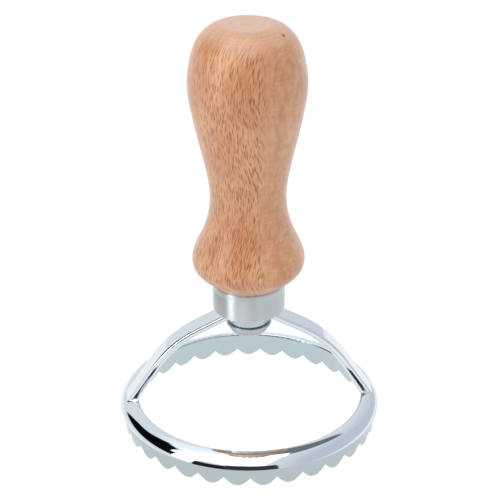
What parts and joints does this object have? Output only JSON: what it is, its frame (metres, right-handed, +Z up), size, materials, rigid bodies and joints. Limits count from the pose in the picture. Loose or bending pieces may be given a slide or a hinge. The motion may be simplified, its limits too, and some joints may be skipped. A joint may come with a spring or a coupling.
{
  "type": "biscuit cutter",
  "caption": "Round hand biscuit cutter: a scalloped chrome ring under a broad arch, screwed to a turned wooden handle with a metal ferrule.",
  "frame": {"origin": "on the handle's axis, in the plane that the scallops' tips stand on", "axes": "+Z up the handle's axis; the arch runs along X; a lobe of the blade points along -X and a notch along +X"},
  "size_m": [0.07, 0.07, 0.112],
  "materials": {
    "chrome_plate": "polished chrome plate on die-cast zinc",
    "satin_aluminium": "spun, fine satin",
    "lacquered_beech": "turned beech under satin lacquer",
    "screw_steel": "bright zinc-plated steel",
    "washer_steel": "bright zinc-plated steel"
  },
  "bodies": {
    "root": {"cutter_casting": "chrome_plate", "ferrule": "satin_aluminium", "handle": "lacquered_beech", "handle_screw": "screw_steel", "screw_washer": "washer_steel"}
  },
  "joints": []
}
